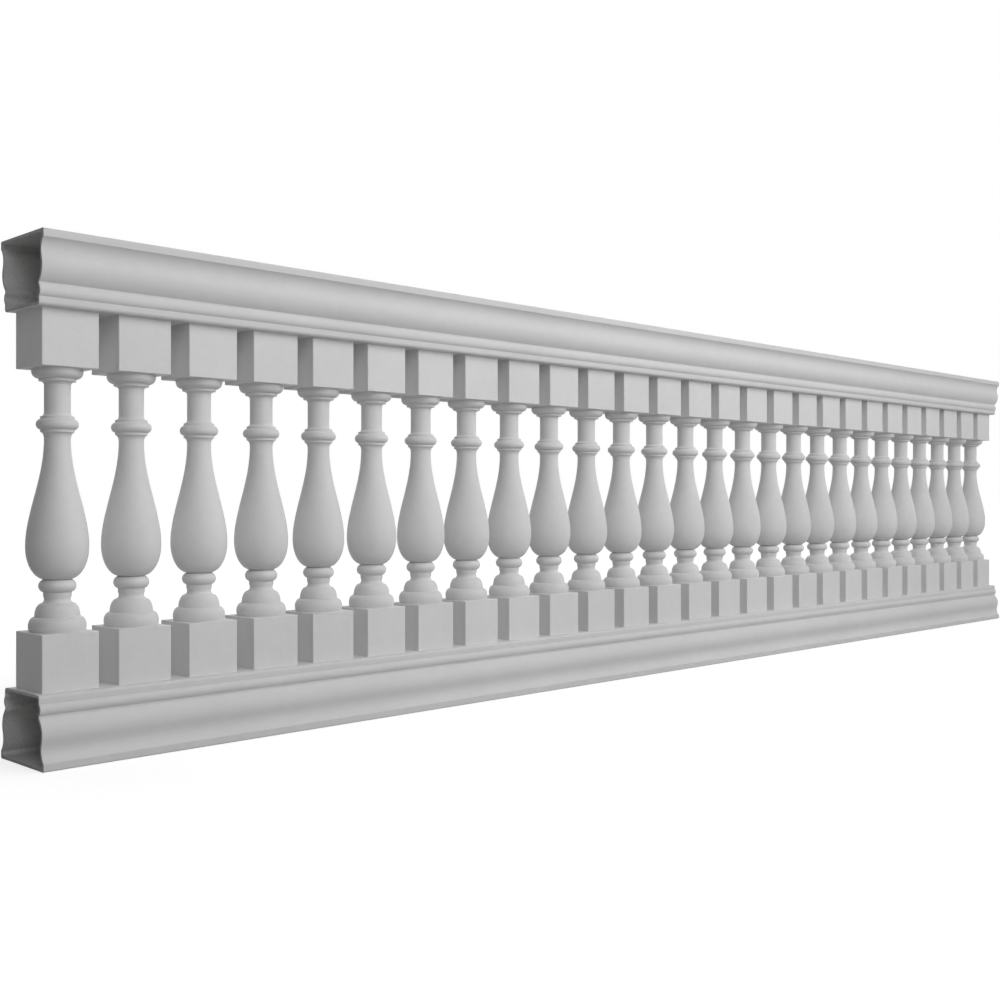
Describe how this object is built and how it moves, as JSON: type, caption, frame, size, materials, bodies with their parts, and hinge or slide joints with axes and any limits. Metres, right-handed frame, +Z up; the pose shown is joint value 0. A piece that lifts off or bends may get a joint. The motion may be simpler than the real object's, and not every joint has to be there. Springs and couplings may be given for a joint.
{
  "type": "balustrade",
  "caption": "Straight balustrade run: a hollow moulded handrail and matching bottom rail with a row of vase-shaped turned balusters on square blocks.",
  "frame": {"origin": "middle of the underside of the bottom rail, on the surface it stands on", "axes": "+X along the run, -Y towards one long side (both sides are alike), +Z up"},
  "size_m": [3.807, 0.17, 0.914],
  "materials": {
    "rail_gelcoat": "pale grey-white gelcoat on moulded fiberglass, satin-matte",
    "baluster_gelcoat": "pale grey-white gelcoat on moulded fiberglass, satin-matte"
  },
  "bodies": {
    "root": {"bottom_rail": "rail_gelcoat", "top_rail": "rail_gelcoat", "baluster_01": "baluster_gelcoat", "baluster_02": "baluster_gelcoat", "baluster_03": "baluster_gelcoat", "baluster_04": "baluster_gelcoat", "baluster_05": "baluster_gelcoat", "baluster_06": "baluster_gelcoat", "baluster_07": "baluster_gelcoat", "baluster_08": "baluster_gelcoat", "baluster_09": "baluster_gelcoat", "baluster_10": "baluster_gelcoat", "baluster_11": "baluster_gelcoat", "baluster_12": "baluster_gelcoat", "baluster_13": "baluster_gelcoat", "baluster_14": "baluster_gelcoat", "baluster_15": "baluster_gelcoat", "baluster_16": "baluster_gelcoat", "baluster_17": "baluster_gelcoat", "baluster_18": "baluster_gelcoat", "baluster_19": "baluster_gelcoat", "baluster_20": "baluster_gelcoat", "baluster_21": "baluster_gelcoat", "baluster_22": "baluster_gelcoat", "baluster_23": "baluster_gelcoat", "baluster_24": "baluster_gelcoat", "baluster_25": "baluster_gelcoat", "baluster_26": "baluster_gelcoat", "baluster_27": "baluster_gelcoat"}
  },
  "joints": []
}
